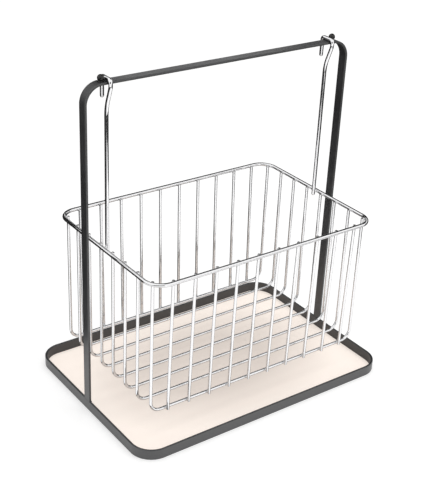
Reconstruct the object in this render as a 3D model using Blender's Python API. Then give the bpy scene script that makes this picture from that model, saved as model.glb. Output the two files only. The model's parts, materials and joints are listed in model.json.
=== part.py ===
"""Wire onion basket that hangs by two hooks from a flat-bar stand.

The stand is a rounded ring of flat bar, set on edge, with a hoop of the same bar welded across it.
Two round stops on the hoop's top keep the hooks from sliding outwards.
The basket is a welded cage: a rim, U-shaped long wires that also make its floor, and straight
wires along the front and the back. Two hangers, one at each end, hook over the hoop.

X runs along the basket, -Y is the front and +Z is up. The origin is on the table, at the middle
of the stand. All sizes are in metres.
"""

import math

import bmesh
import bpy
from mathutils import Quaternion, Vector

# Stand
RING_LENGTH = 0.280
RING_DEPTH = 0.197
RING_HEIGHT = 0.010
RING_CORNER_RADIUS = 0.0215
HOOP_HEIGHT = 0.314
HOOP_WIDTH = 0.0095
HOOP_CORNER_RADIUS = 0.0175
BAR_THICKNESS = 0.0022
BAR_EDGE_RADIUS = 0.0005
STOP_BALL_DIAMETER = 0.006
STOP_BALL_FOOT_DIAMETER = 0.0028

# Basket
FLOOR_CLEARANCE = 0.0296
BASKET_DEPTH = 0.1344
RIM_DEPTH = 0.168
RIM_END_GAP = 0.0148
RIM_WIRE_DIAMETER = 0.0036
RIM_CORNER_RADIUS = 0.016
GRID_WIRE_DIAMETER = 0.0028
GRID_WIRE_TOP_DROP = 0.0013
LONG_WIRE_PAIRS = 4
LONG_WIRE_INSET = 0.0104
LONG_WIRE_BEND_RADIUS = 0.010
SIDE_WIRE_COUNT = 10
SIDE_WIRE_INSET = 0.0209
SIDE_WIRE_LIFT = 0.0006

# Hangers
HANGER_WIRE_DIAMETER = 0.0036
HANGER_FOOT = 0.0045
HOOK_TAIL_LENGTH = 0.0166
HOOK_FRONT_GAP = 0.00045
HOOK_LEG_LENGTH = 0.0042
HOOK_LEG_BEND_RADIUS = 0.008
HOOK_SLANT_ANGLE = math.radians(20)
ROD_BEND_RADIUS = 0.040

# Clearances: between welded pieces, and between a hook and the bar that it sits on
WELD_GAP = 0.0003
SEAT_GAP = 0.0003

# How finely bends and round sections are divided
BEND_STEPS = 6
LARGE_BEND_STEPS = 9
DOME_STEPS = 3
THIN_WIRE_ROUND_STEPS = 2
THICK_WIRE_ROUND_STEPS = 4
BALL_SEGMENTS = 16
BALL_RINGS = 12
BEVEL_SEGMENTS = 2
BEVEL_ANGLE = math.radians(60)
SMOOTH_ANGLE = math.radians(40)

# Worked out from the sizes above
RIM_RADIUS = RIM_WIRE_DIAMETER / 2
GRID_RADIUS = GRID_WIRE_DIAMETER / 2
HANGER_RADIUS = HANGER_WIRE_DIAMETER / 2
RIM_TOP = FLOOR_CLEARANCE + BASKET_DEPTH
RIM_Z = RIM_TOP - RIM_RADIUS
GRID_WIRE_TOP = RIM_TOP - GRID_WIRE_TOP_DROP
RIM_HALF_LENGTH = RING_LENGTH / 2 - BAR_THICKNESS - RIM_END_GAP - RIM_RADIUS
RIM_HALF_DEPTH = RIM_DEPTH / 2 - RIM_RADIUS
FLOOR_WIRE_Z = FLOOR_CLEARANCE + GRID_RADIUS
SIDE_WIRE_FOOT_Z = FLOOR_CLEARANCE + SIDE_WIRE_LIFT
LONG_WIRE_REACH = RIM_HALF_DEPTH - LONG_WIRE_INSET
SIDE_WIRE_REACH = RIM_HALF_LENGTH - SIDE_WIRE_INSET
HANGER_X = RIM_HALF_LENGTH - RIM_RADIUS - WELD_GAP - HANGER_RADIUS
SWING_AXIS_Z = HOOP_HEIGHT - BAR_THICKNESS / 2


def clear_scene():
    """Remove whatever the scene holds at the start."""
    for old in list(bpy.data.objects):
        bpy.data.objects.remove(old, do_unlink=True)


def make_material(name, colour, roughness, metallic):
    """A Principled material with one colour, roughness and metallic value."""
    material = bpy.data.materials.new(name)
    material.use_nodes = True
    shader = material.node_tree.nodes["Principled BSDF"]
    shader.inputs["Base Color"].default_value = (*colour, 1)
    shader.inputs["Roughness"].default_value = roughness
    shader.inputs["Metallic"].default_value = metallic
    material.diffuse_color = (*colour, 1)
    return material


def chrome(piece_name):
    """Bright chrome plating, for the basket's wires."""
    return make_material(piece_name + "_chrome", (0.78, 0.78, 0.80), 0.12, 1)


def powder_coat(piece_name):
    """Matt anthracite powder coating, for the stand."""
    return make_material(piece_name + "_coat", (0.045, 0.043, 0.041), 0.5, 0)


def add_object(name, data, material, place=Vector(), parent=None):
    """Link one piece into the scene, at a place in world coordinates."""
    piece = bpy.data.objects.new(name, data)
    data.materials.append(material)
    bpy.context.scene.collection.objects.link(piece)
    piece.location = place
    if parent is not None:
        piece.parent = parent
        piece.location = place - parent.location
    return piece


def fillet(before, corner, after, radius, steps):
    """Points of the arc that rounds the corner between two straight runs."""
    back = (before - corner).normalized()
    ahead = (after - corner).normalized()
    half_angle = back.angle(ahead) / 2
    centre = corner + (back + ahead).normalized() * radius / math.sin(half_angle)
    start = corner + back * radius / math.tan(half_angle) - centre
    end = corner + ahead * radius / math.tan(half_angle) - centre
    axis = start.cross(end)
    turn = start.angle(end)
    return [centre + Quaternion(axis, turn * step / steps) @ start for step in range(steps + 1)]


def rounded_rectangle(half_x, half_y, z, radius, steps):
    """Closed outline with four round corners, anticlockwise seen from above."""
    corners = [Vector((half_x * sx, half_y * sy, z)) for sx, sy in ((-1, -1), (1, -1), (1, 1), (-1, 1))]
    outline = []
    for index, corner in enumerate(corners):
        before = corners[index - 1]
        after = corners[(index + 1) % len(corners)]
        outline += fillet(before, corner, after, radius, steps)
    return outline


def tube(name, points, radius, round_steps, closed=False, tapers=None):
    """A round wire along a path. Tapers are shares of the radius, one for each point."""
    curve = bpy.data.curves.new(name, "CURVE")
    curve.dimensions = "3D"
    curve.bevel_depth = radius
    curve.bevel_resolution = round_steps
    curve.use_fill_caps = True
    spline = curve.splines.new("POLY")
    spline.points.add(len(points) - 1)
    for index, point in enumerate(points):
        spline.points[index].co = (*point, 1)
        spline.points[index].radius = tapers[index] if tapers else 1
    spline.use_cyclic_u = closed
    spline.use_smooth = True
    return curve


def flat_bar(name, outline, across, closed):
    """A ribbon along an outline, as wide as the across vector, for flat bar's outer face."""
    shape = bmesh.new()
    near = [shape.verts.new(point) for point in outline]
    far = [shape.verts.new(point + across) for point in outline]
    last = len(outline) if closed else len(outline) - 1
    for index in range(last):
        following = (index + 1) % len(outline)
        shape.faces.new((near[index], near[following], far[following], far[index]))
    mesh = bpy.data.meshes.new(name)
    shape.to_mesh(mesh)
    shape.free()
    mesh.shade_smooth()
    return mesh


def thicken_bar(bar):
    """Give a ribbon the bar's thickness on its inner side, and round its edges."""
    solid = bar.modifiers.new("bar thickness", "SOLIDIFY")
    solid.thickness = BAR_THICKNESS
    solid.offset = -1
    solid.use_even_offset = True
    edges = bar.modifiers.new("rounded edges", "BEVEL")
    edges.width = BAR_EDGE_RADIUS
    edges.segments = BEVEL_SEGMENTS
    edges.limit_method = "ANGLE"
    edges.angle_limit = BEVEL_ANGLE


def make_base_ring():
    """Flat bar on edge, bent into a rounded rectangle that stands on the table."""
    outline = rounded_rectangle(RING_LENGTH / 2, RING_DEPTH / 2, 0, RING_CORNER_RADIUS, LARGE_BEND_STEPS)
    mesh = flat_bar("base_ring", outline, Vector((0, 0, RING_HEIGHT)), True)
    thicken_bar(add_object("base_ring", mesh, powder_coat("base_ring")))


def make_hoop():
    """Flat bar bent into an upside-down U, whose feet stand on the middle of the ring's ends."""
    half_length = RING_LENGTH / 2
    foot_z = RING_HEIGHT + WELD_GAP
    front = -HOOP_WIDTH / 2
    corners = [
        Vector((-half_length, front, foot_z)),
        Vector((-half_length, front, HOOP_HEIGHT)),
        Vector((half_length, front, HOOP_HEIGHT)),
        Vector((half_length, front, foot_z)),
    ]
    outline = [corners[0]]
    outline += fillet(*corners[:3], HOOP_CORNER_RADIUS, LARGE_BEND_STEPS)
    outline += fillet(*corners[1:], HOOP_CORNER_RADIUS, LARGE_BEND_STEPS)
    outline.append(corners[3])
    mesh = flat_bar("hoop", outline, Vector((0, HOOP_WIDTH, 0)), False)
    thicken_bar(add_object("hoop", mesh, powder_coat("hoop")))


def make_stop_ball(name, side):
    """Round stop on the top bar, just outside a hook, with a small flat foot at its weld."""
    radius = STOP_BALL_DIAMETER / 2
    foot_radius = STOP_BALL_FOOT_DIAMETER / 2
    foot_drop = math.sqrt(radius ** 2 - foot_radius ** 2)
    shape = bmesh.new()
    bmesh.ops.create_uvsphere(shape, u_segments=BALL_SEGMENTS, v_segments=BALL_RINGS, radius=radius)
    whole = shape.verts[:] + shape.edges[:] + shape.faces[:]
    foot_place = Vector((0, 0, -foot_drop))
    down = (0, 0, -1)
    cut = bmesh.ops.bisect_plane(shape, geom=whole, plane_co=foot_place, plane_no=down, clear_outer=True)
    rim_edges = [item for item in cut["geom_cut"] if isinstance(item, bmesh.types.BMEdge)]
    bmesh.ops.edgeloop_fill(shape, edges=rim_edges)
    bmesh.ops.recalc_face_normals(shape, faces=shape.faces)
    mesh = bpy.data.meshes.new(name)
    shape.to_mesh(mesh)
    shape.free()
    mesh.shade_smooth()
    mesh.set_sharp_from_angle(angle=SMOOTH_ANGLE)
    ball_x = HANGER_X + HANGER_RADIUS + SEAT_GAP + radius
    place = Vector((side * ball_x, 0, HOOP_HEIGHT + WELD_GAP + foot_drop))
    add_object(name, mesh, powder_coat(name), place)


def make_rim(parent):
    """Thicker wire round the basket's mouth, a closed rounded rectangle."""
    outline = rounded_rectangle(RIM_HALF_LENGTH, RIM_HALF_DEPTH, 0, RIM_CORNER_RADIUS, LARGE_BEND_STEPS)
    curve = tube("rim", outline, RIM_RADIUS, THICK_WIRE_ROUND_STEPS, closed=True)
    add_object("rim", curve, chrome("rim"), Vector((0, 0, RIM_Z)), parent)


def drawn_in(inset):
    """How far a grid wire lies inside the rim's centre line, welded to the rim's inner side.

    The inset is its distance from the rim's end or side. Where that is less than the corner
    radius, the wire follows the corner, which draws it further in.
    """
    reach = RIM_RADIUS + WELD_GAP + GRID_RADIUS
    past_corner = max(0, RIM_CORNER_RADIUS - inset)
    inner_radius = RIM_CORNER_RADIUS - reach
    return RIM_CORNER_RADIUS - math.sqrt(inner_radius ** 2 - past_corner ** 2)


def make_long_wires(parent):
    """U-shaped wires, evenly spaced, that run down one end, along the floor and up the other."""
    count = 2 * LONG_WIRE_PAIRS
    spacing = 2 * LONG_WIRE_REACH / (count - 1)
    depth = GRID_WIRE_TOP - FLOOR_WIRE_Z
    for index in range(count):
        name = f"long_wire_{index + 1:02d}"
        place_y = index * spacing - LONG_WIRE_REACH
        half_span = RIM_HALF_LENGTH - drawn_in(RIM_HALF_DEPTH - abs(place_y))
        corners = [
            Vector((-half_span, 0, depth)),
            Vector((-half_span, 0, 0)),
            Vector((half_span, 0, 0)),
            Vector((half_span, 0, depth)),
        ]
        path = [corners[0]]
        path += fillet(*corners[:3], LONG_WIRE_BEND_RADIUS, BEND_STEPS)
        path += fillet(*corners[1:], LONG_WIRE_BEND_RADIUS, BEND_STEPS)
        path.append(corners[3])
        curve = tube(name, path, GRID_RADIUS, THIN_WIRE_ROUND_STEPS)
        add_object(name, curve, chrome(name), Vector((0, place_y, FLOOR_WIRE_Z)), parent)


def make_side_wires(row_name, side, parent):
    """Straight wires from inside the rim down to the outer side of the outermost long wire."""
    spacing = 2 * SIDE_WIRE_REACH / (SIDE_WIRE_COUNT - 1)
    foot_y = LONG_WIRE_REACH + GRID_WIRE_DIAMETER + WELD_GAP
    for index in range(SIDE_WIRE_COUNT):
        name = f"{row_name}_wire_{index + 1:02d}"
        place_x = index * spacing - SIDE_WIRE_REACH
        top_y = RIM_HALF_DEPTH - drawn_in(RIM_HALF_LENGTH - abs(place_x))
        lean = top_y - foot_y
        path = [Vector((0, 0, 0)), Vector((0, side * lean, GRID_WIRE_TOP - SIDE_WIRE_FOOT_Z))]
        curve = tube(name, path, GRID_RADIUS, THIN_WIRE_ROUND_STEPS)
        add_object(name, curve, chrome(name), Vector((place_x, side * foot_y, SIDE_WIRE_FOOT_Z)), parent)


def hanger_path():
    """Centre line of a hanger in its own plane, measured from the middle of the bar's top face.

    The wire starts at the hook's tail behind the bar, crosses its top, comes down close in front,
    slants back under the bar and then drops straight to the rim.
    """
    half_bar = HOOP_WIDTH / 2
    top_z = SEAT_GAP + HANGER_RADIUS
    tail_y = half_bar + SEAT_GAP + HANGER_RADIUS
    leg_y = -half_bar - HOOK_FRONT_GAP - HANGER_RADIUS
    slant_foot_z = leg_y / math.tan(HOOK_SLANT_ANGLE) - HOOK_LEG_LENGTH
    corners = [
        Vector((0, tail_y, HANGER_RADIUS - HOOK_TAIL_LENGTH)),
        Vector((0, tail_y, top_z)),
        Vector((0, leg_y, top_z)),
        Vector((0, leg_y, -HOOK_LEG_LENGTH)),
        Vector((0, 0, slant_foot_z)),
        Vector((0, 0, RIM_Z - HANGER_FOOT - HOOP_HEIGHT)),
    ]
    hook_radius = BAR_EDGE_RADIUS + SEAT_GAP + HANGER_RADIUS
    radii = [hook_radius, hook_radius, HOOK_LEG_BEND_RADIUS, ROD_BEND_RADIUS]
    path = [corners[0]]
    for index, radius in enumerate(radii):
        path += fillet(*corners[index:index + 3], radius, BEND_STEPS)
    path.append(corners[-1])
    return path


def make_hanger(name, side, parent):
    """A rod welded inside the rim's end, whose top is bent into a hook with a rounded tail."""
    path = hanger_path()
    dome = []
    tapers = []
    for step in range(1, DOME_STEPS + 1):
        angle = math.pi / 2 * step / (DOME_STEPS + 1)
        dome.insert(0, path[0] - Vector((0, 0, HANGER_RADIUS * math.sin(angle))))
        tapers.insert(0, math.cos(angle))
    tapers += [1] * len(path)
    curve = tube(name, dome + path, HANGER_RADIUS, THICK_WIRE_ROUND_STEPS, tapers=tapers)
    add_object(name, curve, chrome(name), Vector((side * HANGER_X, 0, HOOP_HEIGHT)), parent)


def make_swing_axis():
    """Guide on the line about which the hung basket swings."""
    axis = bpy.data.objects.new("basket_swing_axis", None)
    bpy.context.scene.collection.objects.link(axis)
    axis.location = (0, 0, SWING_AXIS_Z)
    return axis


def make_stand():
    """The ring, the hoop and the two stops."""
    make_base_ring()
    make_hoop()
    make_stop_ball("stop_ball_left", -1)
    make_stop_ball("stop_ball_right", 1)


def make_basket():
    """The welded cage and its two hangers, all carried by the swing axis."""
    swing_axis = make_swing_axis()
    make_rim(swing_axis)
    make_long_wires(swing_axis)
    make_side_wires("front", -1, swing_axis)
    make_side_wires("back", 1, swing_axis)
    make_hanger("hanger_left", -1, swing_axis)
    make_hanger("hanger_right", 1, swing_axis)


clear_scene()
make_stand()
make_basket()
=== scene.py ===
# %% [markdown]
# # A wire basket that hangs on a flat-bar stand
#
# The real object has two units. The stand is flat steel bar, bent, welded and powder
# coated. The basket is round steel wire, bent, spot welded and chromed, and it hangs by
# two hooks from the stand's top bar.
#
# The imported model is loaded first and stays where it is. Every piece made here takes its
# place from it, rides on one of its two bodies, and stands for the plain solids it covers.

# %% Load the frame
import json
import math

import bmesh
import bpy
import numpy as np
from mathutils import Matrix, Vector


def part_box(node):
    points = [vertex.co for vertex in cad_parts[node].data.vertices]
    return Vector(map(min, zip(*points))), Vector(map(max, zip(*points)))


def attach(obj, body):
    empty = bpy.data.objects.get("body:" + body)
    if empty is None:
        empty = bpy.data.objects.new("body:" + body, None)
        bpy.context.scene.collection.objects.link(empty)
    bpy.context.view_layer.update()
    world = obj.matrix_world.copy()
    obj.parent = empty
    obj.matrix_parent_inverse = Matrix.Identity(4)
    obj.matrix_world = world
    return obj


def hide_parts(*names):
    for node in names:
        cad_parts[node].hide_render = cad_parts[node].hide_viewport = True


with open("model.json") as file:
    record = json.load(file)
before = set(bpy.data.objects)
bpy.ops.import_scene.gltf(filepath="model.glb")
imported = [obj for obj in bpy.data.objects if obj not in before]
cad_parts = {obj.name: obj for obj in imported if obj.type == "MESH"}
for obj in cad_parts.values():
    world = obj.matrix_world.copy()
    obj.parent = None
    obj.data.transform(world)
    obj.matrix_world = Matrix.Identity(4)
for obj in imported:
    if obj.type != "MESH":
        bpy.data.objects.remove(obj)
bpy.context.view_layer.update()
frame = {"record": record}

# %% [markdown]
# ## Sizes
#
# The places of the pieces could be typed in as numbers, but then they could drift away
# from the frame. It is safer to read them from the frame's own solids, and to give as
# numbers only what a box can't tell: the sections of bar and wire, and the bend radii.

# %% Sections of bar and wire, and bend radii, in metres
BAR_THICKNESS = 0.0022
BAR_EDGE = 0.0005
RING_BEND = 0.0215
HOOP_BEND = 0.0175
RIM_WIRE = 0.0036
GRID_WIRE = 0.0028
ROD_WIRE = 0.0036
RIM_BEND = 0.016
GRID_BEND = 0.010
HOOK_BEND = 0.0026
HOOK_LEG_BEND = 0.008
ROD_BEND = 0.040

# %% Places, read from the frame
LONG_WIRES = 8
SIDE_WIRES = 10
SIDES = (("left", -1), ("right", 1))

ring_low, ring_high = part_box("base_ring")
hoop_low, hoop_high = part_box("hoop")
rim_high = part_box("rim")[1]
rod_low, rod_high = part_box("hanger_right")
ball_low, ball_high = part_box("stop_ball_right")
rim_z = rim_high.z - RIM_WIRE / 2
rim_half_x = rim_high.x - RIM_WIRE / 2
rim_half_y = rim_high.y - RIM_WIRE / 2
rod_x = (rod_low.x + rod_high.x) / 2
ball_x = (ball_low.x + ball_high.x) / 2


def middle(node):
    """The middle of a solid's box."""
    low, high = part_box(node)
    return (low + high) / 2


print("rim", round(2000 * rim_half_x, 1), "by", round(2000 * rim_half_y, 1), "mm on its centre line")
print("rods at x =", round(1000 * rod_x, 1), "mm, stops at x =", round(1000 * ball_x, 1), "mm")

# %% [markdown]
# ## A path that knows its own bends
#
# Bar and wire are both made by bending a straight length, so each piece here is a path of
# sharp corners with a bend radius at each. The path is a mesh of points and edges. The
# radius is stored on each point as an attribute, where Geometry Nodes can read it.
# Corners could be rounded in Python instead, but then the radius could not be changed
# later in the modifier.


# %% Paths and sections
def path_mesh(name, corners, bends, closed=False, mark=None):
    """Points joined in a row, with the attribute bend_radius, and an optional mark for each."""
    count = len(corners)
    edges = [(index, (index + 1) % count) for index in range(count if closed else count - 1)]
    mesh = bpy.data.meshes.new(name)
    mesh.from_pydata([tuple(corner) for corner in corners], edges, [])
    values = bends if hasattr(bends, "__len__") else [bends] * count
    mesh.attributes.new("bend_radius", "FLOAT", "POINT").data.foreach_set("value", values)
    if mark:
        mesh.attributes.new("edge_mark", "FLOAT", "POINT").data.foreach_set("value", mark)
    return mesh


def rectangle(half_x, half_y, z):
    """Four corners, anticlockwise seen from above."""
    return [Vector((half_x * sx, half_y * sy, z)) for sx, sy in ((-1, -1), (1, -1), (1, 1), (-1, 1))]


def show(name, mesh):
    """Put a mesh into the scene as an object at the origin."""
    piece = bpy.data.objects.new(name, mesh)
    bpy.context.scene.collection.objects.link(piece)
    return piece


# %% [markdown]
# ## Small helpers for node trees
#
# A node tree is easier to read when each line makes one node and says what feeds it. The
# first helper makes a node and links or sets its inputs by name. The second does sums,
# which are the commonest nodes of all.


# %% Node helpers
def add_node(tree, kind, feeds=None, **settings):
    """Make a node, apply its settings, and link or set its inputs by name or number."""
    made = tree.nodes.new(kind)
    for key, value in settings.items():
        setattr(made, key, value)
    for key, value in (feeds or {}).items():
        if isinstance(value, bpy.types.NodeSocket):
            tree.links.new(value, made.inputs[key])
        else:
            made.inputs[key].default_value = value
    return made


def sum_node(tree, operation, first, second=0.0, third=0.0):
    """A Math node's output."""
    feeds = {0: first, 1: second, 2: third}
    return add_node(tree, "ShaderNodeMath", feeds, operation=operation).outputs[0]


def new_tree(name, sockets):
    """A Geometry Nodes tree with a geometry in and out, and the named inputs given."""
    tree = bpy.data.node_groups.new(name, "GeometryNodeTree")
    tree.interface.new_socket("Geometry", in_out="OUTPUT", socket_type="NodeSocketGeometry")
    tree.interface.new_socket("Geometry", in_out="INPUT", socket_type="NodeSocketGeometry")
    for label, kind in sockets:
        tree.interface.new_socket(label, in_out="INPUT", socket_type="NodeSocket" + kind)
    return tree, tree.nodes.new("NodeGroupInput"), tree.nodes.new("NodeGroupOutput")


def grown(name, tree, base, **inputs):
    """Run a tree on a base mesh, keep the result as a plain mesh, and drop the modifier."""
    piece = show(name, base)
    modifier = piece.modifiers.new(tree.name, "NODES")
    modifier.node_group = tree
    sockets = {item.name: item.identifier for item in tree.interface.items_tree if item.in_out == "INPUT"}
    for label, value in inputs.items():
        modifier[sockets[label.replace("_", " ")]] = value
    bpy.context.view_layer.update()
    evaluated = piece.evaluated_get(bpy.context.evaluated_depsgraph_get())
    mesh = bpy.data.meshes.new_from_object(evaluated)
    piece.modifiers.clear()
    piece.data = mesh
    mesh.name = name
    print(name, len(mesh.vertices), "points", len(mesh.polygons), "faces")
    return piece


# %% [markdown]
# ## A row of bent wires
#
# The basket's cage is one idea used again and again: a wire bent along a path, with cut or
# rounded tips, repeated at an even pitch. One Geometry Nodes tree makes all of it, so a
# change of wire size or of tip is made once.
#
# The tree rounds the path's corners by each point's own radius, sweeps a round section
# along it, domes the tips in four small steps, and sets copies along a line from the first
# place to the last. A closed path, such as the rim's, has no tips and comes out unbroken.


# %% The start of every path tree
def bent_path(tree, given, limited=False):
    """The path as a curve, with each corner rounded by its own radius."""
    bend = add_node(tree, "GeometryNodeInputNamedAttribute", {"Name": "bend_radius"}, data_type="FLOAT")
    line = add_node(tree, "GeometryNodeMeshToCurve", {"Mesh": given.outputs["Geometry"]})
    return add_node(tree, "GeometryNodeFilletCurve", {
        "Curve": line.outputs[0],
        "Count": given.outputs["Bend Steps"],
        "Radius": bend.outputs["Attribute"],
        "Limit Radius": limited,
    }, mode="POLY").outputs[0]


# %% The wire row tree
wire_row, given, result = new_tree("Wire Row", (
    ("Count", "Int"),
    ("First Place", "Vector"),
    ("Last Place", "Vector"),
    ("Bend Steps", "Int"),
    ("Wire Radius", "Float"),
    ("Round Sides", "Int"),
    ("Tip Height", "Float"),
    ("Tip Flat", "Float"),
    ("Material", "Material"),
    ("Tip Material", "Material"),
))
section = add_node(wire_row, "GeometryNodeCurvePrimitiveCircle", {
    "Resolution": given.outputs["Round Sides"],
    "Radius": given.outputs["Wire Radius"],
})
swept = add_node(wire_row, "GeometryNodeCurveToMesh", {
    "Curve": bent_path(wire_row, given, limited=True),
    "Profile Curve": section.outputs[0],
    "Fill Caps": True,
})

# %% The tips, in four steps from the full radius to the flat that is left
TIP_STEPS = 4

corner_count = add_node(wire_row, "GeometryNodeInputMeshFaceNeighbors").outputs["Vertex Count"]
is_tip = add_node(wire_row, "FunctionNodeCompare", {2: corner_count, 3: 4},
                  data_type="INT", operation="GREATER_THAN").outputs[0]
shape = swept.outputs[0]
rounding = sum_node(wire_row, "SUBTRACT", 1.0, given.outputs["Tip Flat"])
selection = is_tip
width_before = 1.0
step_turn = math.pi / 2 / (TIP_STEPS + 0.5)
for step in range(1, TIP_STEPS + 1):
    angle_before = step_turn * (step - 1)
    angle_now = step_turn * step
    rise = sum_node(wire_row, "MULTIPLY", given.outputs["Tip Height"],
                    math.sin(angle_now) - math.sin(angle_before))
    width_now = sum_node(wire_row, "MULTIPLY_ADD", rounding, math.cos(angle_now), given.outputs["Tip Flat"])
    narrowing = sum_node(wire_row, "DIVIDE", width_now, width_before)
    raised = add_node(wire_row, "GeometryNodeExtrudeMesh", {
        "Mesh": shape,
        "Selection": selection,
        "Offset Scale": rise,
        "Individual": False,
    }, mode="FACES")
    narrowed = add_node(wire_row, "GeometryNodeScaleElements", {
        "Geometry": raised.outputs["Mesh"],
        "Selection": raised.outputs["Top"],
        "Scale": narrowing,
    }, domain="FACE")
    shape = narrowed.outputs[0]
    selection = raised.outputs["Top"]
    width_before = width_now
tip_marked = add_node(wire_row, "GeometryNodeStoreNamedAttribute", {
    "Geometry": shape,
    "Name": "cut_face",
    "Value": selection,
}, data_type="BOOLEAN", domain="FACE")

# %% The copies, and the end of the tree
places = add_node(wire_row, "GeometryNodeMeshLine", {
    "Count": given.outputs["Count"],
    "Start Location": given.outputs["First Place"],
    "Offset": given.outputs["Last Place"],
}, mode="END_POINTS")
copies = add_node(wire_row, "GeometryNodeInstanceOnPoints", {
    "Points": places.outputs[0],
    "Instance": tip_marked.outputs[0],
})


def end_tree(tree, instances, material, result, extra=None):
    """Realize Instances, shade smooth and Set Material, which every tree here ends in."""
    real = add_node(tree, "GeometryNodeRealizeInstances", {"Geometry": instances})
    smooth = add_node(tree, "GeometryNodeSetShadeSmooth", {"Geometry": real.outputs[0]})
    last = add_node(tree, "GeometryNodeSetMaterial", {"Geometry": smooth.outputs[0], "Material": material})
    if extra:
        mark = add_node(tree, "GeometryNodeInputNamedAttribute", {"Name": "cut_face"}, data_type="BOOLEAN")
        last = add_node(tree, "GeometryNodeSetMaterial", {
            "Geometry": last.outputs[0],
            "Selection": mark.outputs["Attribute"],
            "Material": extra,
        })
    tree.links.new(last.outputs[0], result.inputs["Geometry"])
    print(tree.name, "has", len(tree.nodes), "nodes")


end_tree(wire_row, copies.outputs[0], given.outputs["Material"], result, given.outputs["Tip Material"])

# %% [markdown]
# ## Flat bar along a path
#
# The ring and the hoop are one stock: flat steel bar with softly rounded edges. A bar could
# be an extruded outline with a Bevel modifier, but then its faces shade unevenly where the
# bevel meets the flats. A drawn section with a point close beside each rounded edge keeps
# the flats flat. The section also carries a mark on its edges, which the coat's material
# reads to show wear there.

# %% The bar tree
bar_run, given, result = new_tree("Bar Run", (
    ("Section", "Object"),
    ("Bend Steps", "Int"),
    ("Material", "Material"),
))
drawn = add_node(bar_run, "GeometryNodeObjectInfo", {"Object": given.outputs["Section"]})
section = add_node(bar_run, "GeometryNodeMeshToCurve", {"Mesh": drawn.outputs["Geometry"]})
swept = add_node(bar_run, "GeometryNodeCurveToMesh", {
    "Curve": bent_path(bar_run, given),
    "Profile Curve": section.outputs[0],
    "Fill Caps": True,
})
end_tree(bar_run, swept.outputs[0], given.outputs["Material"], result)

# %% The bar's section
EDGE_STEPS = 5
FLAT_MARGIN = 0.00012


def bar_section(name, across, through):
    """Closed section of flat bar, with rounded edges and their marks for wear."""
    corners = []
    marks = []
    for quarter in range(4):
        side_x = 1 if quarter in (0, 3) else -1
        side_y = 1 if quarter in (0, 1) else -1
        centre = Vector((side_x * (across / 2 - BAR_EDGE), side_y * (through / 2 - BAR_EDGE), 0))
        start = math.pi / 2 * quarter
        before = Vector((math.sin(start), -math.cos(start), 0)) * FLAT_MARGIN
        after = Vector((-math.sin(start + math.pi / 2), math.cos(start + math.pi / 2), 0)) * FLAT_MARGIN
        steps = range(EDGE_STEPS + 1)
        turned = [start + math.pi / 2 * step / EDGE_STEPS for step in steps]
        arc = [centre + BAR_EDGE * Vector((math.cos(angle), math.sin(angle), 0)) for angle in turned]
        corners += [arc[0] + before, *arc, arc[-1] + after]
        marks += [0, *[math.sin(math.pi * (step + 0.5) / (EDGE_STEPS + 1)) for step in steps], 0]
    return show(name, path_mesh(name, corners, 0, closed=True, mark=marks))


# %% [markdown]
# ## Weld beads
#
# The joints are what tells welded wire from anything else. Each crossing has a small lump
# where the wires were pressed together hot, and the plating has flowed over it. The lumps
# could be modelled one by one, but there are dozens, and no two should be alike. The tree
# puts a small ball on each point, as large as that point says, and then pushes its
# surface about with noise, read at its place in the basket, so each lump comes out
# different and stays the same on every run.

# %% The bead tree
BEAD_SUBDIVISIONS = 4

weld_beads, given, result = new_tree("Weld Beads", (
    ("Size Spread", "Float"),
    ("Lump Height", "Float"),
    ("Lump Scale", "Float"),
    ("Seed", "Int"),
    ("Material", "Material"),
))
size = add_node(weld_beads, "GeometryNodeInputNamedAttribute", {"Name": "bead_size"},
                data_type="FLOAT_VECTOR")
spread = add_node(weld_beads, "FunctionNodeRandomValue", {
    2: sum_node(weld_beads, "SUBTRACT", 1.0, given.outputs["Size Spread"]),
    3: sum_node(weld_beads, "ADD", 1.0, given.outputs["Size Spread"]),
    "Seed": given.outputs["Seed"],
}, data_type="FLOAT")
scaled = add_node(weld_beads, "ShaderNodeVectorMath", {
    0: size.outputs["Attribute"],
    "Scale": spread.outputs[1],
}, operation="SCALE")
ball = add_node(weld_beads, "GeometryNodeMeshIcoSphere", {"Radius": 1.0, "Subdivisions": BEAD_SUBDIVISIONS})
beads = add_node(weld_beads, "GeometryNodeInstanceOnPoints", {
    "Points": given.outputs["Geometry"],
    "Instance": ball.outputs[0],
    "Scale": scaled.outputs[0],
})
real = add_node(weld_beads, "GeometryNodeRealizeInstances", {"Geometry": beads.outputs[0]})
noise = add_node(weld_beads, "ShaderNodeTexNoise", {"Scale": given.outputs["Lump Scale"], "Detail": 1.0})
swell = sum_node(weld_beads, "MULTIPLY", sum_node(weld_beads, "SUBTRACT", noise.outputs["Fac"], 0.5),
                 given.outputs["Lump Height"])
normal = add_node(weld_beads, "GeometryNodeInputNormal")
push = add_node(weld_beads, "ShaderNodeVectorMath", {0: normal.outputs[0], "Scale": swell}, operation="SCALE")
lumpy = add_node(weld_beads, "GeometryNodeSetPosition", {
    "Geometry": real.outputs[0],
    "Offset": push.outputs[0],
})
end_tree(weld_beads, lumpy.outputs[0], given.outputs["Material"], result)


def bead_points(name, joints):
    """A mesh of loose points, one for each joint, with the attribute bead_size."""
    mesh = bpy.data.meshes.new(name)
    mesh.from_pydata([tuple(place) for place, half_sizes in joints], [], [])
    sizes = [value for place, half_sizes in joints for value in half_sizes]
    mesh.attributes.new("bead_size", "FLOAT_VECTOR", "POINT").data.foreach_set("vector", sizes)
    return mesh


# %% [markdown]
# ## Effects that several finishes share
#
# A flat colour looks like plastic, because a real finish is never quite even. Two effects
# turn up in more than one finish here. Grain is the fine texture of a coat or a table top.
# Handling is the soft patches that hands and cloths leave, which change the gloss more
# than the colour. Each is a shader node group, built once, and every material sets its own
# values. The shader itself stays in the material.


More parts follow.
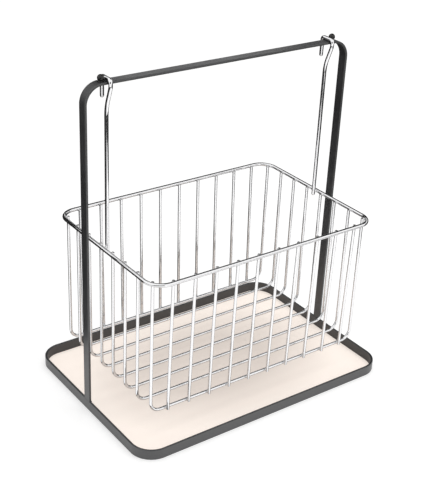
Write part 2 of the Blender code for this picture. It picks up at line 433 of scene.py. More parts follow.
# %% Shader group helpers
def new_effect(name, inputs, outputs):
    """A shader node group with named inputs and outputs, each a plain number."""
    group = bpy.data.node_groups.new(name, "ShaderNodeTree")
    for label, value in inputs.items():
        socket = group.interface.new_socket(label, in_out="INPUT", socket_type="NodeSocketFloat")
        socket.default_value = value
    for label in outputs:
        group.interface.new_socket(label, in_out="OUTPUT", socket_type="NodeSocketFloat")
    return group, group.nodes.new("NodeGroupInput"), group.nodes.new("NodeGroupOutput")


def remap(tree, value, low, high, to_low, to_high):
    """A Map Range node's output, held within its ends."""
    feeds = {0: value, 1: low, 2: high, 3: to_low, 4: to_high}
    return add_node(tree, "ShaderNodeMapRange", feeds, clamp=True).outputs[0]


# %% Grain: fine bumps, and a tone that follows them
grain, given, result = new_effect("Grain", {"Scale": 1000.0, "Softness": 0.5}, ("Height", "Tone"))
place = add_node(grain, "ShaderNodeTexCoord").outputs["Object"]
fine = add_node(grain, "ShaderNodeTexNoise", {
    "Vector": place,
    "Scale": given.outputs["Scale"],
    "Detail": 3.0,
    "Roughness": given.outputs["Softness"],
})
broad = add_node(grain, "ShaderNodeTexNoise", {
    "Vector": place,
    "Scale": sum_node(grain, "MULTIPLY", given.outputs["Scale"], 0.21),
    "Detail": 2.0,
})
height = sum_node(grain, "MULTIPLY_ADD", broad.outputs["Fac"], 0.6, fine.outputs["Fac"])
grain.links.new(height, result.inputs["Height"])
grain.links.new(remap(grain, fine.outputs["Fac"], 0.3, 0.7, 0.0, 1.0), result.inputs["Tone"])

# %% Handling: soft patches and faint streaks
scales = {"Patch Scale": 20.0, "Streak Scale": 240.0}
handling, given, result = new_effect("Handling", scales, ("Patches", "Streaks"))
place = add_node(handling, "ShaderNodeTexCoord").outputs["Object"]
patches = add_node(handling, "ShaderNodeTexNoise", {
    "Vector": place,
    "Scale": given.outputs["Patch Scale"],
    "Detail": 4.0,
    "Distortion": 0.6,
})
streaks = add_node(handling, "ShaderNodeTexNoise", {
    "Vector": place,
    "Scale": given.outputs["Streak Scale"],
    "Detail": 2.0,
    "Distortion": 1.5,
})
handling.links.new(remap(handling, patches.outputs["Fac"], 0.35, 0.65, 0.0, 1.0), result.inputs["Patches"])
handling.links.new(remap(handling, streaks.outputs["Fac"], 0.45, 0.75, 0.0, 1.0), result.inputs["Streaks"])


# %% Material helpers
def new_finish(name, **sockets):
    """A material with its Principled shader, some of whose sockets are set to fixed values."""
    material = bpy.data.materials.new(name)
    material.use_nodes = True
    tree = material.node_tree
    shader = tree.nodes["Principled BSDF"]
    for label, value in sockets.items():
        shader.inputs[label.replace("_", " ")].default_value = value
    return material, tree, shader


def place_effect(tree, effect, **values):
    """Place a shared effect in a material, with its own values."""
    made = tree.nodes.new("ShaderNodeGroup")
    made.node_tree = effect
    for label, value in values.items():
        made.inputs[label.replace("_", " ")].default_value = value
    return made.outputs


def mixed(tree, share, first, second):
    """A colour between two colours."""
    feeds = {"Factor": share, 6: first, 7: second}
    return add_node(tree, "ShaderNodeMix", feeds, data_type="RGBA").outputs[2]


def bumped(tree, shader, height, distance):
    """Feed a height to the shader's normal. At 1.0 it stands for the distance, in metres."""
    bump = add_node(tree, "ShaderNodeBump", {"Height": height, "Distance": distance})
    tree.links.new(bump.outputs[0], shader.inputs["Normal"])


# %% [markdown]
# ## Powder coat
#
# The stand is powder coated. The coat is a dark grey with a fine orange peel, a broad
# soft sheen, and a little wear where the bar's edges rub. Orange peel could be real
# displacement, but it is far too fine for that at this size, so a Bump node does it. The
# edges are found by the mark that the bar's section carries, not by a bevel trick that
# would slow every render. The stop knobs have the same coat, smoother, with a small sharp
# highlight, and their colour is darkened with painted shade so they look darker than the bars.

# %% The coat's values
COAT_DARK_SHARES = (0.50, 0.54, 0.60)
COAT_LIGHT_SHARES = (0.68, 0.72, 0.80)
# The knobs' shares paint shade into their colour, so they come out darker than the bars.
KNOB_PAINTED_SHADE_SHARES = (0.3, 0.3, 0.3)
RUBBED_COLOUR = (0.09, 0.09, 0.09, 1)
RUBBED_SHARE = 0.35
RUBBED_GLOSS = -0.08
COAT_ROUGHNESS = (0.36, 0.44)
COAT_PEEL = 0.00003
KNOB_PEEL = 0.00001
PEEL = {"Scale": 1500.0, "Softness": 0.45}

slot_colours = {item["slot"]: item["base_color"] for item in frame["record"]["materials"]}
coat_slot_colour = slot_colours["stand_coat"]
print("coat", [round(value, 3) for value in coat_slot_colour])


def tinted(colour, shares):
    """A colour with each channel scaled by its share."""
    return (*[value * share for value, share in zip(colour, shares)], 1)


# %% The coat of the bars
coat, tree, shader = new_finish("Anthracite Coat", IOR=1.92)
marks = place_effect(tree, handling, Patch_Scale=24.0, Streak_Scale=300.0)
edge = add_node(tree, "ShaderNodeAttribute", attribute_name="edge_mark").outputs["Fac"]
worn = sum_node(tree, "MULTIPLY", edge, marks["Streaks"])
dark, light = (tinted(coat_slot_colour, shares) for shares in (COAT_DARK_SHARES, COAT_LIGHT_SHARES))
body_colour = mixed(tree, marks["Patches"], dark, light)
rubbed = mixed(tree, sum_node(tree, "MULTIPLY", worn, RUBBED_SHARE), body_colour, RUBBED_COLOUR)
tree.links.new(rubbed, shader.inputs["Base Color"])
rough = remap(tree, marks["Patches"], 0.0, 1.0, *COAT_ROUGHNESS)
tree.links.new(sum_node(tree, "MULTIPLY_ADD", worn, RUBBED_GLOSS, rough), shader.inputs["Roughness"])
bumped(tree, shader, place_effect(tree, grain, **PEEL)["Height"], COAT_PEEL)

# %% The coat of the stop knobs, darkened with painted shade
knob_painted_shade_coat, tree, shader = new_finish("Knob Coat Painted Shade", IOR=1.5, Roughness=0.18)
# Painted shade: the knobs' colour is the coat's colour scaled well down.
shader.inputs["Base Color"].default_value = tinted(coat_slot_colour, KNOB_PAINTED_SHADE_SHARES)
bumped(tree, shader, place_effect(tree, grain, **PEEL)["Height"], KNOB_PEEL)

# %% [markdown]
# ## Chrome
#
# Chrome is nearly a mirror, so most of its look is what stands round it. What belongs to
# the plating is a clear cool white, a gloss that hands have dulled in places, and a very
# fine waviness left from drawing and polishing the wire. A mirror turns fully white where
# it is seen edge-on, and wires this thin would melt into a white background, so the wire's
# edge tint holds that back. Three finishes share one recipe: the clean wire, the welds,
# which are duller and stay light at their edges, and the cut faces of the wires' tips, where
# the plating is thin over steel.


# %% The three chromes
STREAK_SHARES = (0.93, 0.93, 0.93)
PATCH_WEAR = 0.6
STREAK_WEAR = 0.4


def chrome(name, colour, edge, gloss, dulled, ripple):
    """Chrome with an edge tint, a roughness from gloss to dulled, and a ripple in metres."""
    material, tree, shader = new_finish(name, Metallic=1.0, Specular_Tint=(edge, edge, edge, 1))
    marks = place_effect(tree, handling, Patch_Scale=30.0, Streak_Scale=420.0)
    wave = place_effect(tree, grain, Scale=900.0, Softness=0.4)
    streaked = mixed(tree, marks["Streaks"], (*colour, 1), tinted(colour, STREAK_SHARES))
    tree.links.new(streaked, shader.inputs["Base Color"])
    worn = sum_node(tree, "MULTIPLY", marks["Streaks"], STREAK_WEAR)
    worn = sum_node(tree, "MULTIPLY_ADD", marks["Patches"], PATCH_WEAR, worn)
    tree.links.new(remap(tree, worn, 0.0, 1.0, gloss, dulled), shader.inputs["Roughness"])
    bumped(tree, shader, wave["Height"], ripple)
    return material


wire_chrome = chrome("Wire Chrome", (0.93, 0.93, 0.94), edge=0.05, gloss=0.03, dulled=0.08, ripple=0.000001)
weld_chrome = chrome("Weld Chrome", (0.97, 0.97, 0.98), edge=0.80, gloss=0.20, dulled=0.34, ripple=0.00002)
cut_chrome = chrome("Cut Face Chrome", (0.84, 0.83, 0.82), edge=0.60, gloss=0.24, dulled=0.38, ripple=0.00004)
print("chromes:", [material.name for material in (wire_chrome, weld_chrome, cut_chrome)])

# %% [markdown]
# ## The stand's ring
#
# The base is flat bar standing on its edge, bent into a rounded rectangle and closed by a
# weld that is ground away. The path is a rectangle at half the bar's height, and the bar
# tree does the rest.

# %% Make the ring
RING_BEND_STEPS = 28

ring_height = ring_high.z - ring_low.z
on_edge = bar_section("section_on_edge", BAR_THICKNESS, ring_height)
half_x = ring_high.x - BAR_THICKNESS / 2
half_y = ring_high.y - BAR_THICKNESS / 2
ring_path = path_mesh("ring_path", rectangle(half_x, half_y, ring_low.z + ring_height / 2),
                      RING_BEND - BAR_THICKNESS / 2, closed=True)
ring_bar = grown("ring_bar", bar_run, ring_path, Section=on_edge, Bend_Steps=RING_BEND_STEPS, Material=coat)

# %% [markdown]
# ## The hoop
#
# The hoop is the same bar laid flat way on, so that the hooks have its whole width to sit
# on. It is bent into an upside-down U and its feet stand on the ring's top edge.

# %% Make the hoop
HOOP_BEND_STEPS = 28

hoop_width = hoop_high.y - hoop_low.y
flat_on = bar_section("section_flat_on", BAR_THICKNESS, hoop_width)
post_x = hoop_high.x - BAR_THICKNESS / 2
bar_z = hoop_high.z - BAR_THICKNESS / 2
foot_z = ring_high.z
hoop_corners = [(-post_x, 0, foot_z), (-post_x, 0, bar_z), (post_x, 0, bar_z), (post_x, 0, foot_z)]
hoop_bend = HOOP_BEND - BAR_THICKNESS / 2
hoop_path = path_mesh("hoop_path", hoop_corners, [0, hoop_bend, hoop_bend, 0])
hoop_bar = grown("hoop_bar", bar_run, hoop_path, Section=flat_on, Bend_Steps=HOOP_BEND_STEPS, Material=coat)
for section_piece in (on_edge, flat_on):
    bpy.data.objects.remove(section_piece)

# %% [markdown]
# ## The stops
#
# A small round stop is welded on the bar just outside each hook, so the hook can't slide
# off sideways. It is turned work: one outline spun about an upright axis. The outline is a
# ball that flows into the bar through a small hollow fillet, which is the weld under its
# coat. A plain ball would look as if it only touched the bar.

# %% A spun outline
SPIN_STEPS = 40


def spun(name, outline, centre, material):
    """Spin an outline of (radius, height) points, whose first point is on the axis."""
    shape = bmesh.new()
    rings = []
    for radius, height in outline:
        turned = range(1 if radius == 0 else SPIN_STEPS)
        rings.append([shape.verts.new((
            centre.x + radius * math.cos(math.tau * step / SPIN_STEPS),
            centre.y + radius * math.sin(math.tau * step / SPIN_STEPS),
            centre.z + height,
        )) for step in turned])
    for upper, lower in zip(rings, rings[1:]):
        for step in range(SPIN_STEPS):
            following = (step + 1) % SPIN_STEPS
            corners = [upper[step % len(upper)], lower[step], lower[following], upper[following % len(upper)]]
            shape.faces.new(list(dict.fromkeys(corners)))
    shape.faces.new(list(reversed(rings[-1])))
    bmesh.ops.recalc_face_normals(shape, faces=shape.faces)
    mesh = bpy.data.meshes.new(name)
    shape.to_mesh(mesh)
    shape.free()
    mesh.shade_smooth()
    mesh.materials.append(material)
    print(name, len(mesh.polygons), "faces")
    return show(name, mesh)


# %% The stop's outline
BALL_STEPS = 18
FILLET_STEPS = 6
FILLET_RADIUS = 0.0006


def stop_outline(radius, rise):
    """A ball of that radius, with its middle that far over the bar, and a fillet to the bar."""
    fillet_x = math.sqrt((radius + FILLET_RADIUS) ** 2 - (rise - FILLET_RADIUS) ** 2)
    meet = math.atan2(fillet_x, rise - FILLET_RADIUS)
    outline = [(0, rise + radius)]
    for step in range(1, BALL_STEPS + 1):
        angle = (math.pi - meet) * step / BALL_STEPS
        outline.append((radius * math.sin(angle), rise + radius * math.cos(angle)))
    for step in range(1, FILLET_STEPS + 1):
        angle = meet * (1 - step / FILLET_STEPS)
        x = fillet_x - FILLET_RADIUS * math.sin(angle)
        outline.append((x, FILLET_RADIUS - FILLET_RADIUS * math.cos(angle)))
    return outline


# %% Make both stops
ball_radius = (ball_high.x - ball_low.x) / 2
ball_rise = ball_high.z - ball_radius - hoop_high.z
profile = stop_outline(ball_radius, ball_rise)
stops = [spun("stop_knob_" + name, profile, Vector((side * ball_x, 0, hoop_high.z)), knob_painted_shade_coat)
         for name, side in SIDES]
print("stop", round(2000 * ball_radius, 2), "mm, middle", round(1000 * ball_rise, 2), "mm over the bar")

# %% [markdown]
# ## Weld runs at the hoop's feet
#
# Each foot is as thick as the ring's edge that it stands on, so the joint is a butt weld.
# It is ground flush outside, where it would show, and left as a small run of weld round the
# other three sides. A run is a thin rod of weld laid along the joint, with the ripples of
# each drop. The tree sweeps a round section whose size goes up and down along the path.

# %% The weld run tree
RIPPLE_POINTS = 6.0
RUN_SIDES = 14
END_SHARE = 0.35
END_SWELL = 9.0

weld_run, given, result = new_tree("Weld Run", (
    ("Bend Steps", "Int"),
    ("Run Radius", "Float"),
    ("Ripple Pitch", "Float"),
    ("Ripple Share", "Float"),
    ("Material", "Material"),
))
close_points = add_node(weld_run, "GeometryNodeResampleCurve", {
    "Curve": bent_path(weld_run, given),
    "Length": sum_node(weld_run, "DIVIDE", given.outputs["Ripple Pitch"], RIPPLE_POINTS),
}, mode="LENGTH")
along = add_node(weld_run, "GeometryNodeSplineParameter")
turn = sum_node(weld_run, "DIVIDE", sum_node(weld_run, "MULTIPLY", along.outputs["Length"], math.tau),
                given.outputs["Ripple Pitch"])
wave = sum_node(weld_run, "SINE", turn)
wave = sum_node(weld_run, "MULTIPLY_ADD", wave, given.outputs["Ripple Share"], 1.0)
from_end = sum_node(weld_run, "PINGPONG", along.outputs["Factor"], 0.5)
fade = sum_node(weld_run, "MINIMUM", sum_node(weld_run, "MULTIPLY_ADD", from_end, END_SWELL, END_SHARE), 1.0)
section = add_node(weld_run, "GeometryNodeCurvePrimitiveCircle", {
    "Resolution": RUN_SIDES,
    "Radius": given.outputs["Run Radius"],
})
swept = add_node(weld_run, "GeometryNodeCurveToMesh", {
    "Curve": close_points.outputs[0],
    "Profile Curve": section.outputs[0],
    "Scale": sum_node(weld_run, "MULTIPLY", wave, fade),
    "Fill Caps": True,
})
end_tree(weld_run, swept.outputs[0], given.outputs["Material"], result)

# %% Make both runs
WELD_RUN_RADIUS = 0.00055
WELD_RUN_INSET = 0.0007
WELD_RUN_BEND = 0.0004
WELD_RUN_BEND_STEPS = 5
WELD_RIPPLE = 0.0011
WELD_RIPPLE_SHARE = 0.14

foot_welds = []
for name, side in SIDES:
    outer = side * (hoop_high.x - WELD_RUN_INSET)
    inner = side * (hoop_high.x - BAR_THICKNESS)
    half = hoop_width / 2
    corners = [(outer, -half, foot_z), (inner, -half, foot_z), (inner, half, foot_z), (outer, half, foot_z)]
    run_path = path_mesh("run_path", corners, [0, WELD_RUN_BEND, WELD_RUN_BEND, 0])
    foot_welds.append(grown("foot_weld_" + name, weld_run, run_path, Bend_Steps=WELD_RUN_BEND_STEPS,
                            Run_Radius=WELD_RUN_RADIUS, Ripple_Pitch=WELD_RIPPLE,
                            Ripple_Share=WELD_RIPPLE_SHARE, Material=coat))

# %% [markdown]
# ## The basket's rim
#
# The rim is the thickest wire, bent into a rounded rectangle. It is the wire row tree again,
# on a closed path and with a count of one.

# %% Make the rim
RIM_SIDES = 28
RIM_BEND_STEPS = 22

one_place = dict(Count=1, First_Place=(0, 0, 0), Last_Place=(0, 0, 0), Round_Sides=RIM_SIDES,
                 Material=wire_chrome, Tip_Material=wire_chrome)
rim_path = path_mesh("rim_path", rectangle(rim_half_x, rim_half_y, rim_z), RIM_BEND, closed=True)
rim_wire = grown("rim_wire", wire_row, rim_path, Bend_Steps=RIM_BEND_STEPS, Wire_Radius=RIM_WIRE / 2,
                 Tip_Height=0.0, Tip_Flat=1.0, **one_place)

# %% [markdown]
# ## The long wires
#
# Eight U-shaped wires run down one end, along the floor and up the other end. The outer two
# stand where the rim's corners begin to turn, so they are a little shorter from end to end.
# The tree makes a row of equal wires, so it runs twice: six inner wires, then the outer two.

# %% Make the long wires
GRID_BEND_STEPS = 12
GRID_SIDES = 20
CUT_HEIGHT = 0.00022
CUT_FLAT = 0.72
grid_values = dict(Wire_Radius=GRID_WIRE / 2, Round_Sides=GRID_SIDES, Tip_Height=CUT_HEIGHT,
                   Tip_Flat=CUT_FLAT, Material=wire_chrome, Tip_Material=cut_chrome)


def join(name, parts):
    """Join plain meshes of one body into one piece."""
    shape = bmesh.new()
    for part in parts:
        shape.from_mesh(part.data)
    mesh = bpy.data.meshes.new(name)
    shape.to_mesh(mesh)
    shape.free()
    for material in parts[0].data.materials:
        mesh.materials.append(material)
    for part in parts:
        bpy.data.objects.remove(part)
    return show(name, mesh)


def long_row(first, last, count):
    """Equal U-shaped wires from the first frame node to the last."""
    low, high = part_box(first)
    half_span = high.x - GRID_WIRE / 2
    floor = low.z + GRID_WIRE / 2
    top = high.z - CUT_HEIGHT
    corners = [(-half_span, 0, top), (-half_span, 0, floor), (half_span, 0, floor), (half_span, 0, top)]
    path = path_mesh("long_path", corners, [0, GRID_BEND, GRID_BEND, 0])
    return grown("long_row", wire_row, path, Count=count, First_Place=(0, middle(first).y, 0),
                 Last_Place=(0, middle(last).y, 0), Bend_Steps=GRID_BEND_STEPS, **grid_values)


cage_long_wires = join("cage_long_wires", [
    long_row("long_wire_02", "long_wire_07", LONG_WIRES - 2),
    long_row("long_wire_01", "long_wire_08", 2),
])

# %% [markdown]
# ## The front and back wires
#
# Ten straight wires close the front and ten the back. Each leans out a little towards the
# top, from the outer side of the outermost long wire to the inner side of the rim, and its
# cut tip stands just below the wire it is welded to. The two rows are mirror images, but a
# mirror would turn the faces inside out, so each row gets its own path.


# %% Make the front and back wires
def side_row(name, row, side):
    """A row of straight leaning wires, on the front (-1) or the back (1)."""
    first, last = f"{row}_wire_01", f"{row}_wire_{SIDE_WIRES:02d}"
    low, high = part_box(first)
    foot_y = side * (min(abs(low.y), abs(high.y)) + GRID_WIRE / 2)
    top_y = side * (max(abs(low.y), abs(high.y)) - GRID_WIRE / 2)
    path = path_mesh("side_path", [(0, foot_y, low.z + CUT_HEIGHT), (0, top_y, high.z - CUT_HEIGHT)], 0)
    return grown(name, wire_row, path, Count=SIDE_WIRES, First_Place=(middle(first).x, 0, 0),
                 Last_Place=(middle(last).x, 0, 0), Bend_Steps=1, **grid_values)


cage_front_wires = side_row("cage_front_wires", "front", -1)
cage_back_wires = side_row("cage_back_wires", "back", 1)

# %% [markdown]
# ## The two hanging rods
#
# Each rod stands inside the middle of the rim's end. Further up it slants forward, stands
# straight again for a little, and goes over the bar into a short tail behind it with a
# rounded tip. The path has four bends in one plane, each with its own radius.

# %% Make the rods
ROD_BEND_STEPS = 14
SEAT_GAP = 0.0003
HOOK_FRONT_GAP = 0.00045
HOOK_TAIL = 0.0166
HOOK_LEG = 0.0042
HOOK_SLANT = math.radians(20)
ROD_TIP_SHARE = 0.98

rod_radius = ROD_WIRE / 2


def rod_path(side):
    """Corners and bends of a rod, from the tail's tip to the foot."""
    tail_y = hoop_width / 2 + SEAT_GAP + rod_radius
    leg_y = -hoop_width / 2 - HOOK_FRONT_GAP - rod_radius
    top_z = hoop_high.z + SEAT_GAP + rod_radius
    slant_z = hoop_high.z - HOOK_LEG + leg_y / math.tan(HOOK_SLANT)
    heights = [
        (tail_y, hoop_high.z - HOOK_TAIL + rod_radius),
        (tail_y, top_z),
        (leg_y, top_z),
        (leg_y, hoop_high.z - HOOK_LEG),
        (0, slant_z),
        (0, rod_low.z + rod_radius),
    ]
    corners = [(side * rod_x, y, z) for y, z in heights]
    return path_mesh("rod_path", corners, [0, HOOK_BEND, HOOK_BEND, HOOK_LEG_BEND, ROD_BEND, 0])


rods = [grown(name + "_hook_rod", wire_row, rod_path(side), Bend_Steps=ROD_BEND_STEPS,
              Wire_Radius=rod_radius, Tip_Height=rod_radius * ROD_TIP_SHARE, Tip_Flat=0.0, **one_place)
        for name, side in SIDES]

# %% [markdown]
# ## The spot welds
#
# Each joint's bead lies where two wires come closest. Its half sizes are along, across and
# up, and are larger than the gap between the wires, so the bead sinks into both and only
# its edge shows, as it does on the real thing.

# %% Find the joints
RIM_BEAD = (0.0013, 0.0013, 0.00143)
RIM_BEAD_DROP = 0.0005
FLOOR_BEAD = (0.00132, 0.0011, 0.00132)
ROD_BEAD = (0.0015, 0.0017, 0.0017)
rim_reach = RIM_WIRE / 2 + SEAT_GAP / 2


def rim_joint(x, y):
    """The point on the inner side of the rim's wire that is nearest to a place inside it."""
    turn_x, turn_y = rim_half_x - RIM_BEND, rim_half_y - RIM_BEND
    centre = Vector((max(-turn_x, min(turn_x, x)), max(-turn_y, min(turn_y, y)), rim_z - RIM_BEAD_DROP))
    away = Vector((x, y, centre.z)) - centre
    return centre + away.normalized() * (RIM_BEND - rim_reach)


rim_joints = []
floor_joints = []
for index in range(1, LONG_WIRES + 1):
    low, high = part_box(f"long_wire_{index:02d}")
    for _, side in SIDES:
        rim_joints.append((rim_joint(side * (high.x - GRID_WIRE / 2), (low.y + high.y) / 2), RIM_BEAD))
for row, side, beside in (("front", -1, "long_wire_01"), ("back", 1, "long_wire_08")):
    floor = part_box(beside)[0].z + GRID_WIRE / 2
    for index in range(1, SIDE_WIRES + 1):
        low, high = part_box(f"{row}_wire_{index:02d}")
        x = (low.x + high.x) / 2
        top_y = side * (max(abs(low.y), abs(high.y)) - GRID_WIRE / 2)
        rim_joints.append((rim_joint(x, top_y), RIM_BEAD))
        joint_y = middle(beside).y + side * (GRID_WIRE / 2 + SEAT_GAP / 2)
        floor_joints.append((Vector((x, joint_y, floor)), FLOOR_BEAD))
rod_joints = [(Vector((side * (rim_half_x - rim_reach), 0, rim_z)), ROD_BEAD) for _, side in SIDES]
print("joints:", len(rim_joints), "rim,", len(floor_joints), "floor,", len(rod_joints), "rods")

# %% Make the beads
bead_values = dict(Size_Spread=0.08, Lump_Height=0.0005, Lump_Scale=900.0, Material=weld_chrome)
beads = [
    grown(name + "_weld_beads", weld_beads, bead_points(name + "_joints", joints), Seed=seed, **bead_values)
    for name, joints, seed in (("rim", rim_joints, 3), ("floor", floor_joints, 7), ("rod", rod_joints, 11))
]

# %% [markdown]
# ## Which piece rides on what
#
# Every piece says which body carries it and which solids of the frame it stands for.
# Those solids stay in the model for its physics and aren't shown.

# %% Ride and replace
long_nodes = [f"long_wire_{index:02d}" for index in range(1, LONG_WIRES + 1)]
front_nodes = [f"front_wire_{index:02d}" for index in range(1, SIDE_WIRES + 1)]
back_nodes = [f"back_wire_{index:02d}" for index in range(1, SIDE_WIRES + 1)]
stand_pieces = [
    (ring_bar, ["base_ring"]),
    (hoop_bar, ["hoop"]),
    (stops[0], ["stop_ball_left"]),
    (stops[1], ["stop_ball_right"]),
    *[(weld, []) for weld in foot_welds],
]
basket_pieces = [
    (rim_wire, ["rim"]),
    (cage_long_wires, long_nodes),
    (cage_front_wires, front_nodes),
    (cage_back_wires, back_nodes),
    (rods[0], ["hanger_left"]),
    (rods[1], ["hanger_right"]),
    *[(bead, []) for bead in beads],
]
for body, slot, pieces in (("stand", "stand_coat", stand_pieces), ("basket", "basket_chrome", basket_pieces)):
    for piece, nodes in pieces:
        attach(piece, body)
        if nodes:
            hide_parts(*nodes)
    print(body, "carries", [piece.name for piece, nodes in pieces])

# %% [markdown]
# ## The table top
#
# The object stands on a plain white top. A white ground could be made by more light, but
# that would bleach the object too. Here the lamps stay at a plain level, and the top adds a
# little glow of its own for rays from the camera, from gloss and through glass, just enough
# to reach white. The lamps reach its far parts less, so the glow grows there and the top
# meets the white world without a grey band. Its shadows stay.

# %% Make the top
TOP_REACH = 2.2
TOP_TONES = ((0.615, 0.612, 0.61, 1), (0.63, 0.628, 0.626, 1))
TOP_GLOW = 0.50
TOP_FAR = (0.9, TOP_REACH)
TOP_FAR_GLOW = 1.4


def level_sheet(name, corners, faces, z, material):
    """A level sheet that faces up, from corners in the plane."""
    mesh = bpy.data.meshes.new(name)
    mesh.from_pydata([(x, y, z) for x, y in corners], [], faces)
    mesh.materials.append(material)
    return show(name, mesh)


def box_corners(low, high):
    """The four corners of a rectangle, anticlockwise seen from above."""
    return [(low[0], low[1]), (high[0], low[1]), (high[0], high[1]), (low[0], high[1])]


def seen_or_mirrored(tree):
    """1 for rays from the camera, from gloss and through glass, and 0 for the rest."""
    path = add_node(tree, "ShaderNodeLightPath")
    shown = sum_node(tree, "MAXIMUM", path.outputs["Is Camera Ray"], path.outputs["Is Glossy Ray"])
    return sum_node(tree, "MAXIMUM", shown, path.outputs["Is Transmission Ray"])


top_paint, tree, shader = new_finish("White Table Top", Roughness=0.7, IOR=1.3)
speckle = place_effect(tree, grain, Scale=300.0, Softness=0.5)
tree.links.new(mixed(tree, speckle["Tone"], *TOP_TONES), shader.inputs["Base Color"])
bumped(tree, shader, speckle["Height"], 0.00002)
place = add_node(tree, "ShaderNodeTexCoord").outputs["Object"]
away = add_node(tree, "ShaderNodeVectorMath", {0: place}, operation="LENGTH").outputs["Value"]
growth = remap(tree, away, *TOP_FAR, 1.0, TOP_FAR_GLOW)
tree.links.new(sum_node(tree, "MULTIPLY", seen_or_mirrored(tree), growth), shader.inputs["Emission Strength"])
shader.inputs["Emission Color"].default_value = (TOP_GLOW, TOP_GLOW, TOP_GLOW, 1)
whole = box_corners((-TOP_REACH, -TOP_REACH), (TOP_REACH, TOP_REACH))
table_top = level_sheet("table_top", whole, [(0, 1, 2, 3)], 0.0, top_paint)

# %% [markdown]
# ## Painted light and shade inside the ring
#
# Inside the ring a thin sheet paints warm bounce light on the table, with painted shade
# that is deepest under the basket. It is painted light, not a piece of the object, so it
# is part of the stage. Its colour is the warm light, and a glow that grows from the middle
# out to the ring makes the gradient. The sheet ends under the bar, where its outline can't be seen.

# %% The painted warm light and shade
# Painted light: the warm tone stands for bounce light, and the weaker glow in the middle is painted shade
# under the basket.
PAINTED_BOUNCE_TONE = (0.62, 0.55, 0.50, 1)
PAINTED_BOUNCE_GLOW = (1.0, 0.92, 0.85, 1)
PAINTED_SHADE_FADE = (0.45, 1.0)
PAINTED_LIGHT_GLOW = (0.22, 0.50)
PAINTED_REFLECTION_GLOW = 0.14

painted_light_paint, tree, shader = new_finish("Painted Light Sheet", Roughness=0.7, IOR=1.3)
shader.inputs["Base Color"].default_value = PAINTED_BOUNCE_TONE
place = add_node(tree, "ShaderNodeMapping", {
    "Vector": add_node(tree, "ShaderNodeTexCoord").outputs["Object"],
    "Scale": (1 / half_x, 1 / half_y, 0),
})
away = add_node(tree, "ShaderNodeVectorMath", {0: place.outputs[0]}, operation="LENGTH").outputs["Value"]
glow = remap(tree, away, *PAINTED_SHADE_FADE, *PAINTED_LIGHT_GLOW)
path = add_node(tree, "ShaderNodeLightPath")
glow = sum_node(tree, "MULTIPLY", path.outputs["Is Camera Ray"], glow)
# For gloss rays the sheet glows too, which puts a painted reflection of the warm light into the chrome.
glow = sum_node(tree, "MULTIPLY_ADD", path.outputs["Is Glossy Ray"], PAINTED_REFLECTION_GLOW, glow)
tree.links.new(glow, shader.inputs["Emission Strength"])
shader.inputs["Emission Color"].default_value = PAINTED_BOUNCE_GLOW

# %% Make the sheet of painted light and shade under the basket
SHEET_HEIGHT = 0.0003
SHEET_STEPS = 8

sheet_bend = RING_BEND - BAR_THICKNESS / 2
sheet_corners = []
for quarter, (side_x, side_y) in enumerate(((1, 1), (-1, 1), (-1, -1), (1, -1))):
    centre = (side_x * (half_x - sheet_bend), side_y * (half_y - sheet_bend))
    for step in range(SHEET_STEPS + 1):
        turned = math.pi / 2 * (quarter + step / SHEET_STEPS)
        x, y = sheet_bend * math.cos(turned), sheet_bend * math.sin(turned)
        sheet_corners.append((centre[0] + x, centre[1] + y))
one_face = [range(len(sheet_corners))]
cream_sheet = level_sheet("cream_sheet", sheet_corners, one_face, SHEET_HEIGHT, painted_light_paint)

# %% [markdown]
# ## The dark parts of the studio
#
# Chrome shows its surroundings and little else. With white on every side the wires would
# have no edges and would vanish, so a studio puts dark cloths and panels round polished
# metal. Here a dark cloth lies on the table all round the object. Its five-cornered window
# leaves the table white near the object, and is cut so that the left sides of the wires and
# the front edges of the bar still mirror the cloth. Four curved panels stand round it: a
# tall one behind, whose top slopes down to the left, a low one beside it, one on the right
# and one by the camera. A dark sheet overhead on the right gives the level wires their dark
# upper line. All of it shows in gloss alone, so the camera sees none of it and no surface
# loses light.

# %% Outlines of the cloth, and bearings and heights of the panels
CLOTH = [
    (-0.53, -0.71), (0.00, -0.74), (0.12, -0.92), (6.00, -0.92), (6.00, 6.00),
    (-1.20, 6.00), (-1.20, 0.20), (-0.94, 0.00), (-0.83, -0.41),
]
WINDOW = [(-0.41, -0.62), (-0.03, -0.62), (0.33, -0.24), (0.33, 0.10), (-0.41, 0.10)]
CLOTH_HEIGHT = 0.001
CEILING_HEIGHT = 2.1
PANELS = {
    "left_panel": ((158, 1.50), (190, 1.20), (202, 1.05), (212, 0.72), (222, 0.45), (240, 0.20)),
    "camera_panel": ((288, 0.25), (315, 0.80), (345, 0.80)),
    "right_panel": ((62, 0.40), (100, 0.50), (137, 0.80)),
    "back_panel": ((137, 0.20), (158, 0.50)),
}

# %% A curved panel
PANEL_DISTANCE = 1.3
PANEL_STEPS = 24


def panel(name, profile, material):
    """An upright panel curved round the table, whose top follows the given bearings and heights."""
    corners = []
    for step in range(PANEL_STEPS + 1):
        turned = profile[0][0] + (profile[-1][0] - profile[0][0]) * step / PANEL_STEPS
        top = float(np.interp(turned, *zip(*profile)))
        bearing = math.radians(turned)
        x, y = PANEL_DISTANCE * math.sin(bearing), -PANEL_DISTANCE * math.cos(bearing)
        corners += [(x, y, 0), (x, y, top)]
    faces = [(2 * step, 2 * step + 1, 2 * step + 3, 2 * step + 2) for step in range(PANEL_STEPS)]
    mesh = bpy.data.meshes.new(name)
    mesh.from_pydata(corners, [], faces)
    mesh.materials.append(material)
    return show(name, mesh)


# %% Make the dark parts
DARK = (0.02, 0.02, 0.02, 1)

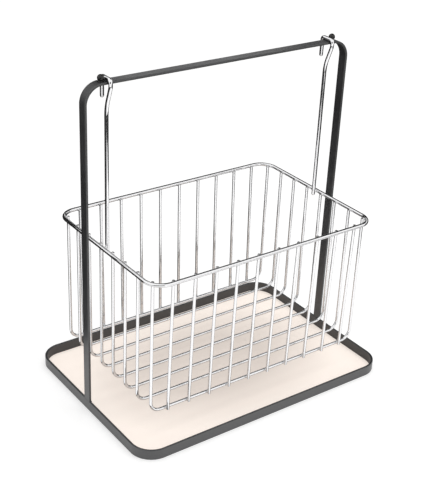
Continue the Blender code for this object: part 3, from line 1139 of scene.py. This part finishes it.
room_paint, tree, shader = new_finish("Dark Cloth", Roughness=1.0)
shader.inputs["Base Color"].default_value = DARK
cloth_corners = [*CLOTH, CLOTH[0], WINDOW[0], *reversed(WINDOW)]
ceiling_corners = box_corners((0.2, -0.4), (3.2, 3.2))
dark_sheets = [
    level_sheet("dark_cloth", cloth_corners, [range(len(cloth_corners))], CLOTH_HEIGHT, room_paint),
    level_sheet("dark_ceiling", ceiling_corners, [(3, 2, 1, 0)], CEILING_HEIGHT, room_paint),
    *[panel(name, profile, room_paint) for name, profile in PANELS.items()],
]
for sheet in dark_sheets:
    sheet.visible_camera = False
    sheet.visible_diffuse = False
    sheet.visible_shadow = False
print("dark parts:", [sheet.name for sheet in dark_sheets])

# %% [markdown]
# ## Light
#
# Soft studio light: one broad lamp overhead, a little to the right, one weak lamp low on
# the right in front, and an even glow from all round. The world is white for the camera,
# gloss and glass, and a paler grey for the light that it gives.

# %% The world
WORLD_GLOW = 0.38

world = bpy.data.worlds.new("Studio")
bpy.context.scene.world = world
world.use_nodes = True
tree = world.node_tree
background = tree.nodes["Background"]
background.inputs["Color"].default_value = (1, 1, 1, 1)
strength = remap(tree, seen_or_mirrored(tree), 0.0, 1.0, WORLD_GLOW, 1.0)
tree.links.new(strength, background.inputs["Strength"])


# %% The lamps
LAMP_TARGET = Vector((0, 0, 0.1))


def lamp(name, place, size, power):
    """A square soft lamp, in metres and watts, that points at the basket."""
    light = bpy.data.lights.new(name, "AREA")
    light.shape = "SQUARE"
    light.size = size
    light.energy = power
    made = bpy.data.objects.new(name, light)
    bpy.context.scene.collection.objects.link(made)
    aim = (LAMP_TARGET - Vector(place)).to_track_quat("-Z", "Y")
    made.matrix_world = Matrix.LocRotScale(Vector(place), aim, None)
    made.visible_glossy = False
    print(name, power, "W")


lamp("top_lamp", place=(0.3, 0.0, 3.0), size=3.0, power=64)
lamp("front_lamp", place=(0.85, -1.1, 0.6), size=0.9, power=3)

# %% [markdown]
# ## The camera
#
# The camera stands at the photograph's angle: in front, to the left and above, with a long
# lens and a slight roll. Its place was worked out from the object's own straight lines.

# %% Set the camera
CAMERA_TURN = math.radians(-36.655)
CAMERA_RISE = math.radians(27.595)
CAMERA_ROLL = math.radians(2.606)
CAMERA_TARGET = Vector((-0.026272, -0.030891, 0.149333))
CAMERA_DISTANCE = 0.95640
CAMERA_LENS = 76.59
CAMERA_SENSOR = 36.0
CAMERA_CLIP = 0.01

back = Vector((
    math.sin(CAMERA_TURN) * math.cos(CAMERA_RISE),
    -math.cos(CAMERA_TURN) * math.cos(CAMERA_RISE),
    math.sin(CAMERA_RISE),
))
level = Vector((0, 0, 1)).cross(back).normalized()
upright = back.cross(level)
right = level * math.cos(CAMERA_ROLL) + upright * math.sin(CAMERA_ROLL)
above = upright * math.cos(CAMERA_ROLL) - level * math.sin(CAMERA_ROLL)
camera = bpy.data.objects.new("camera", bpy.data.cameras.new("camera"))
bpy.context.scene.collection.objects.link(camera)
camera.data.lens = CAMERA_LENS
camera.data.sensor_width = CAMERA_SENSOR
camera.data.clip_start = CAMERA_CLIP
camera.matrix_world = Matrix((right, above, back)).transposed().to_4x4()
camera.location = CAMERA_TARGET + back * CAMERA_DISTANCE
bpy.context.scene.camera = camera
bpy.context.scene.view_settings.view_transform = "Standard"
print("camera at", [round(value, 3) for value in camera.location])
